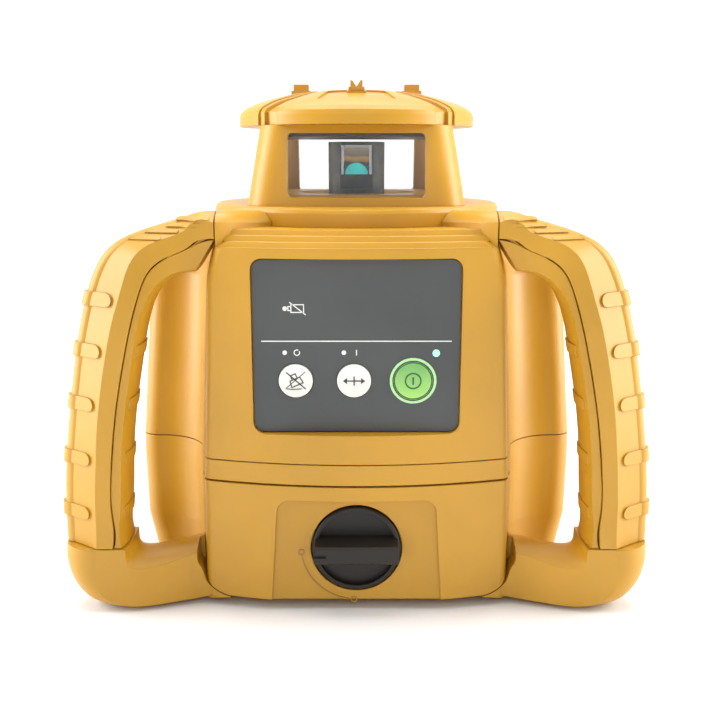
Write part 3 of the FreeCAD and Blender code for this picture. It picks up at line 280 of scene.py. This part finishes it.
def wrap(name):
    """Battery sleeve: dark film with a copper-coloured positive end."""
    g = Graph(name)
    x = g.math("FRACT", g.math("DIVIDE", g.math("ADD", g.axis("X"), CELL_LEFT), CELL_PITCH), 0.0)
    film = g.noise(200.0, 3.0)
    sleeve = g.ramp(film, (0.3, (0.010, 0.011, 0.014)), (0.7, (0.025, 0.027, 0.033)))
    g.colour(g.mix(g.span(x, 0.0, 1.0, 0.70, 0.71), sleeve, (0.48, 0.22, 0.07)))
    g.rough(g.span(film, 0.2, 0.34, 0.3, 0.7))
    g.bump(film, 0.00005, 0.3)
    return g.mat


def paint(material, *names):
    for name in names:
        mesh = NODES[name].data
        mesh.materials.clear()
        mesh.materials.append(material)


yellow = moulded("moulded_yellow", BODY_YELLOW)
grip_yellow = moulded("grip_yellow", tuple(c * 0.96 for c in BODY_YELLOW), 0.42, 0.00007, 2000.0)
band_grey = moulded("panel_grey", (0.072, 0.076, 0.076), 0.5, 0.00002, 3000.0, 0.0002, 0.35)
knob_dark = moulded("knob_brown_black", (0.013, 0.0095, 0.0065), 0.38, 0.00003, 2400.0, 0.0005, 0.35)
black = moulded("black_plastic", (0.012, 0.012, 0.012), 0.5, 0.00003)
ceiling = moulded("ceiling_dark", (0.045, 0.010, 0.006), 0.55, 0.00003)
steel = metal("steel", (0.60, 0.60, 0.62), 0.28)
aluminium = metal("aluminium", (0.78, 0.78, 0.80), 0.34, (1.0, 1.0, 6.0))
brass = metal("brass", (0.78, 0.56, 0.22), 0.26)
rubber_black = rubber("rubber_black")
green_board = board("green_board")

paint(yellow, "upper_housing", "base_housing", "battery_cover", "top_ring", "tower_cage", "lid_pads",
      "lid_crown", "sight_blades", "left_handle_foot", "right_handle_foot")
paint(grip_yellow, "left_handle_grip", "right_handle_grip", "left_handle_inner", "right_handle_inner")
paint(band_grey, "keypad_panel")
paint(knob_dark, "lock_knob")
paint(black, "board_parts", "rotor_pulley", "battery_tray")
paint(ceiling, "ceiling_plate")
paint(glass("window_glass", (0.62, 0.74, 0.82)), "window_panes")
paint(glass("lens_glass", (0.75, 0.88, 0.86), 0.02, 0.3), "collimator_lens")
paint(glass("vial_glass", (0.45, 0.85, 0.25), 0.03, 0.6), "tilt_vials")
paint(steel, "bay_contacts", "latch_keeper", "handle_screws", "dome_switches", "x_levelling_motor",
      "y_levelling_motor", "rotor_bearings", "drive_motor", "rotor_spindle", "prism_frame", "tray_contacts",
      "latch_cam")
paint(aluminium, "tripod_plate", "chassis_plate", "gimbal_brackets", "gimbal_ring", "optical_tube")
paint(brass, "x_drive_roller", "y_drive_roller", "laser_diode_module", "motor_pulley")
paint(rubber_black, "housing_gasket", "rubber_feet", "drive_belt", "cover_gasket")
paint(green_board, "main_board", "keypad_board")
paint(speckled("rotor_bronze"), "prism_housing")
paint(prism("prism_block"), "pentaprism")
paint(lens("cyan_lens"), "beam_window")
paint(wrap("cell_sleeve"), "battery_cells")
# Painted light and shade: the white keys are lighter at the top, the green key lighter at the bottom.
paint(key_cap("key_white", (0.83, 0.82, 0.76), (0.74, 0.73, 0.67), "tilt_button"), "tilt_button",
      "manual_button")
paint(key_cap("key_green", (0.16, 0.42, 0.10), (0.33, 0.66, 0.14), "power_button"), "power_button")
# Faint painted glow on the bezel ring and on the pale indicator lights.
paint(lit("ring_green", (0.42, 0.74, 0.33), 0.10), "power_bezel")
paint(lit("led_pale", (0.80, 0.80, 0.78), 0.05), "indicator_leds")
paint(lit("led_mint", (0.30, 0.86, 0.60), 0.9), "power_led")


# ---- printed and embossed marks --------------------------------------------------------------------
def band_points(points, width, closed):
    """Left and right edge of a ribbon along (x, z) points, mitred at the corners."""
    left, right = [], []
    count = len(points)
    for i, p in enumerate(points):
        before = points[i - 1] if closed or i else None
        after = points[(i + 1) % count] if closed or i < count - 1 else None
        runs = []
        if before is not None:
            runs.append((Vector(p) - Vector(before)).normalized())
        if after is not None:
            runs.append((Vector(after) - Vector(p)).normalized())
        run = sum(runs, Vector((0.0, 0.0))).normalized()
        side = Vector((-run.y, run.x))
        flat = Vector((-runs[0].y, runs[0].x))
        reach = width / 2 / max(0.4, side.dot(flat))
        left.append(Vector(p) + side * reach)
        right.append(Vector(p) - side * reach)
    return left, right


def add_ribbon(bm, points, width, y, depth, closed=False):
    """Raised line in the front plane; points and sizes in millimetres, y and depth in metres."""
    left, right = band_points(points, width, closed)
    rows = []
    for a, b in zip(left, right):
        rows.append([bm.verts.new((p.x * MM, py, p.y * MM)) for p, py in
                     ((a, y), (a, y - depth), (b, y - depth), (b, y))])
    last = len(rows) if closed else len(rows) - 1
    for i in range(last):
        r0, r1 = rows[i], rows[(i + 1) % len(rows)]
        for k in range(4):
            bm.faces.new((r0[k], r0[(k + 1) % 4], r1[(k + 1) % 4], r1[k]))
    if not closed:
        bm.faces.new(rows[0])
        bm.faces.new(rows[-1])


def add_patch(bm, outline, y, depth):
    """Raised flat patch with a closed outline."""
    back = [bm.verts.new((x * MM, y, z * MM)) for x, z in outline]
    front = [bm.verts.new((x * MM, y - depth, z * MM)) for x, z in outline]
    bm.faces.new(back)
    bm.faces.new(front)
    for i in range(len(outline)):
        j = (i + 1) % len(outline)
        bm.faces.new((back[i], back[j], front[j], front[i]))


def circle(x, z, r, start=0.0, sweep=360.0, steps=40):
    count = steps if sweep >= 360.0 else steps + 1
    turn = [math.radians(start + sweep * i / steps) for i in range(count)]
    return [(x + r * math.cos(a), z + r * math.sin(a)) for a in turn]


def finish_piece(name, bm, material, body):
    bmesh.ops.recalc_face_normals(bm, faces=bm.faces)
    mesh = bpy.data.meshes.new(name)
    bm.to_mesh(mesh)
    bm.free()
    mesh.materials.append(material)
    piece = bpy.data.objects.new(name, mesh)
    bpy.context.scene.collection.objects.link(piece)
    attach(piece, body)
    return piece


def centre(node):
    lo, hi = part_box(node)
    return (lo + hi) / 2 / MM


MARK_THICKNESS = 0.00012             # thickness of printed marks and of the painted shadow ring, in metres
LOCK_RECESS_Y = -0.0818     # flat recess of the battery cover
print_white = moulded("print_white", (0.78, 0.79, 0.77), 0.5, 0.00001, 3000.0, 0.0)
# Dark print colour, also used for the painted shadow ring around the green key.
print_and_shadow_dark = moulded("print_and_shadow_dark", (0.035, 0.036, 0.036), 0.5, 0.00001, 3000.0, 0.0)
print_green = moulded("print_green", (0.02, 0.11, 0.02), 0.45, 0.00001, 3000.0, 0.0)
# Body yellow darkened to 72 % for the embossed lock marks: painted shade on the relief.
emboss_painted_shade = moulded("emboss_painted_shade", tuple(c * 0.72 for c in BODY_YELLOW), 0.5, 0.00002, 2600.0, 0.0)
panel_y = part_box("keypad_panel")[0].y
panel_lo, panel_hi = (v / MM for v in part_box("keypad_panel"))
tilt_at = centre("tilt_button")
manual_at = centre("manual_button")
power_at = centre("power_button")
LED_ROW_Z = 114.6
ICON_Z = 133.0
DIVIDER_Z = 119.4
LOCK_ARC_R = 23.8
LOCK_RELIEF = 0.0003        # height of the embossed lock marks


def panel_marks():
    """Divider, low-battery sign and small signs beside the indicator lights."""
    bm = bmesh.new()
    divider = [(panel_lo.x + 3.4, DIVIDER_Z), (panel_hi.x - 3.4, DIVIDER_Z)]
    add_ribbon(bm, divider, 0.45, panel_y, MARK_THICKNESS)
    x, z = -25.2, ICON_Z
    case = [(x - 1.6, z + 1.6), (x + 3.6, z + 1.6), (x + 3.6, z - 1.6), (x - 1.6, z - 1.6)]
    add_ribbon(bm, case, 0.42, panel_y, MARK_THICKNESS, True)
    add_ribbon(bm, [(x - 1.9, z + 0.8), (x - 2.8, z + 0.8), (x - 2.8, z - 0.8), (x - 1.9, z - 0.8)], 0.42,
               panel_y, MARK_THICKNESS)
    add_ribbon(bm, [(x - 2.2, z + 2.6), (x + 4.4, z - 2.6)], 0.42, panel_y, MARK_THICKNESS)
    add_ribbon(bm, circle(-24.6, LED_ROW_Z, 1.15, 60.0, 330.0, 20), 0.4, panel_y, MARK_THICKNESS)
    add_ribbon(bm, [(0.0, LED_ROW_Z - 1.2), (0.0, LED_ROW_Z + 1.2)], 0.45, panel_y, MARK_THICKNESS)
    return finish_piece("panel_marks", bm, print_white, "housing")


def tilt_sign():
    """Tilted instrument outline with a slash, on the left key."""
    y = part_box("tilt_button")[0].y
    bm = bmesh.new()
    x, z = tilt_at.x, tilt_at.z
    lean = math.radians(24.0)

    def leaned(points):
        c, d = math.cos(lean), math.sin(lean)
        return [(x + px * c - pz * d, z + px * d + pz * c) for px, pz in points]
    add_ribbon(bm, leaned([(-2.6, -1.9), (2.6, -1.9), (2.2, 0.9), (-2.2, 0.9)]), 0.42, y, MARK_THICKNESS, True)
    add_ribbon(bm, leaned([(-1.1, 1.2), (-1.1, 2.9), (1.1, 2.9), (1.1, 1.2)]), 0.42, y, MARK_THICKNESS)
    add_ribbon(bm, [(x - 4.2, z - 3.3), (x - 1.2, z - 3.6), (x + 2.4, z - 3.3)], 0.36, y, MARK_THICKNESS)
    add_ribbon(bm, [(x - 3.9, z + 3.7), (x + 4.1, z - 3.4)], 0.46, y, MARK_THICKNESS)
    add_ribbon(bm, [(x - 3.9, z - 3.0), (x + 4.0, z + 3.9)], 0.30, y, MARK_THICKNESS)
    return finish_piece("tilt_sign", bm, print_and_shadow_dark, "tilt_key")


def manual_sign():
    """Slope arrows between two end stops, on the middle key."""
    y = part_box("manual_button")[0].y
    bm = bmesh.new()
    x, z = manual_at.x, manual_at.z
    add_ribbon(bm, [(x - 3.9, z), (x + 3.9, z)], 0.5, y, MARK_THICKNESS)
    for s in (-1, 1):
        tip = [(x + s * 4.6, z), (x + s * 2.9, z + 1.3), (x + s * 2.9, z - 1.3)]
        add_patch(bm, tip, y, MARK_THICKNESS * 1.3)
    add_ribbon(bm, [(x, z - 1.9), (x, z + 1.9)], 0.5, y, MARK_THICKNESS * 1.6)
    return finish_piece("manual_sign", bm, print_and_shadow_dark, "manual_key")


def power_sign():
    """Ring and upright bar on the green key."""
    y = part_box("power_button")[0].y
    bm = bmesh.new()
    x, z = power_at.x, power_at.z
    add_ribbon(bm, circle(x, z, 3.2), 0.6, y, MARK_THICKNESS, True)
    add_ribbon(bm, [(x, z - 1.6), (x, z + 1.6)], 0.7, y, MARK_THICKNESS)
    return finish_piece("power_sign", bm, print_green, "power_key")


def key_shadow_ring():
    """Dark ring of painted shadow between the green key and its pale bezel."""
    bm = bmesh.new()
    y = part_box("power_bezel")[0].y
    add_ribbon(bm, circle(power_at.x, power_at.z, 8.35), 0.55, y, MARK_THICKNESS * 0.6, True)
    return finish_piece("power_dark_ring", bm, print_and_shadow_dark, "housing")


def lock_marks():
    """Embossed arc below left of the knob with a small ring past each end."""
    bm = bmesh.new()
    k = centre("lock_knob")
    add_ribbon(bm, circle(k.x, k.z, LOCK_ARC_R, 190.0, 72.0, 30), 0.6, LOCK_RECESS_Y, LOCK_RELIEF)
    for turn in (184.5, 267.5):
        a = math.radians(turn)
        ring = circle(k.x + LOCK_ARC_R * math.cos(a), k.z + LOCK_ARC_R * math.sin(a), 1.2, steps=20)
        add_ribbon(bm, ring, 0.5, LOCK_RECESS_Y, LOCK_RELIEF, True)
    return finish_piece("lock_marks", bm, emboss_painted_shade, "battery_door")


panel_marks()
tilt_sign()
manual_sign()
power_sign()
key_shadow_ring()
lock_marks()


# ---- stage -----------------------------------------------------------------------------------------
SHEET_REACH = 6.0           # paper to each side and to the front
SWEEP_R = 1.2               # radius of the sweep, and its distance behind the object
SHEET_TOP = 5.0
GLOW = 0.60                 # strength of the paper's painted glow, from its start to its full distance
GLOW_START = 0.17
GLOW_FULL = 0.55


def floor():
    """Seamless paper, flat near the object and swept up behind it, with a painted glow that grows away from
    the object and leaves the paper near it darker.
    """
    profile = [(-SHEET_REACH, 0.0), (SWEEP_R, 0.0)]
    for angle in range(10, 91, 10):
        a = math.radians(angle)
        profile.append((SWEEP_R + SWEEP_R * math.sin(a), SWEEP_R - SWEEP_R * math.cos(a)))
    profile.append((2.0 * SWEEP_R, SHEET_TOP))
    bm = bmesh.new()
    rows = [(bm.verts.new((-SHEET_REACH, y, z)), bm.verts.new((SHEET_REACH, y, z))) for y, z in profile]
    for (a, b), (c, d) in zip(rows[:-1], rows[1:]):
        bm.faces.new((a, b, d, c))
    mesh = bpy.data.meshes.new("floor")
    bm.to_mesh(mesh)
    bm.free()
    g = Graph("floor_paper")
    g.colour(g.ramp(g.noise(4.0, 2.0), (0.3, (0.80, 0.80, 0.80)), (0.7, (0.82, 0.82, 0.82))))
    length = g.nodes.new("ShaderNodeVectorMath")
    length.operation = "LENGTH"
    g.link(g.coord, length.inputs[0])
    # Painted light: the paper glows more the farther it lies from the object.
    glow = g.span(length.outputs["Value"], 0.0, GLOW, GLOW_START, GLOW_FULL)
    g.link(glow, g.shader.inputs["Emission Strength"])
    g.put(Roughness=0.75, Specular_IOR_Level=0.25, Emission_Color=(1.0, 1.0, 1.0, 1.0))
    mesh.materials.append(g.mat)
    ground = bpy.data.objects.new("floor", mesh)
    bpy.context.scene.collection.objects.link(ground)
    return ground


def area_light(name, at, look, size, power):
    data = bpy.data.lights.new(name, "AREA")
    data.shape = "RECTANGLE"
    data.size, data.size_y = size
    data.energy = power
    lamp = bpy.data.objects.new(name, data)
    lamp.location = at
    lamp.rotation_euler = (Vector(look) - Vector(at)).to_track_quat("-Z", "Y").to_euler()
    bpy.context.scene.collection.objects.link(lamp)
    return lamp


def world_light(strength):
    world = bpy.data.worlds.new("studio")
    world.use_nodes = True
    back = world.node_tree.nodes["Background"]
    back.inputs["Color"].default_value = (1.0, 1.0, 1.0, 1.0)
    back.inputs["Strength"].default_value = strength
    bpy.context.scene.world = world


LOOK_DOWN = 12.4            # degrees below level


def camera():
    """Camera at the height of the tower, looking slightly down at the front."""
    data = bpy.data.cameras.new("camera")
    data.lens = 46.5
    data.sensor_width = 36.0
    data.shift_x = 0.0049
    data.clip_start = 0.01
    eye = bpy.data.objects.new("camera", data)
    eye.location = (0.0, -0.456, 0.194)
    eye.rotation_euler = (math.radians(90.0 - LOOK_DOWN), 0.0, 0.0)
    bpy.context.scene.collection.objects.link(eye)
    bpy.context.scene.camera = eye


floor()
area_light("top", (0.0, 0.10, 0.9), (0.0, 0.0, 0.1), (0.9, 0.7), 9.0)
area_light("left", (-0.80, -0.06, 0.36), (0.0, -0.05, 0.1), (0.45, 0.8), 9.0)
area_light("right", (0.80, -0.06, 0.36), (0.0, -0.05, 0.1), (0.45, 0.8), 9.0)
area_light("front", (0.0, -1.1, 0.75), (0.0, 0.0, 0.12), (1.0, 0.5), 2.6)
world_light(0.40)
camera()
bpy.context.scene.view_settings.view_transform = "Standard"
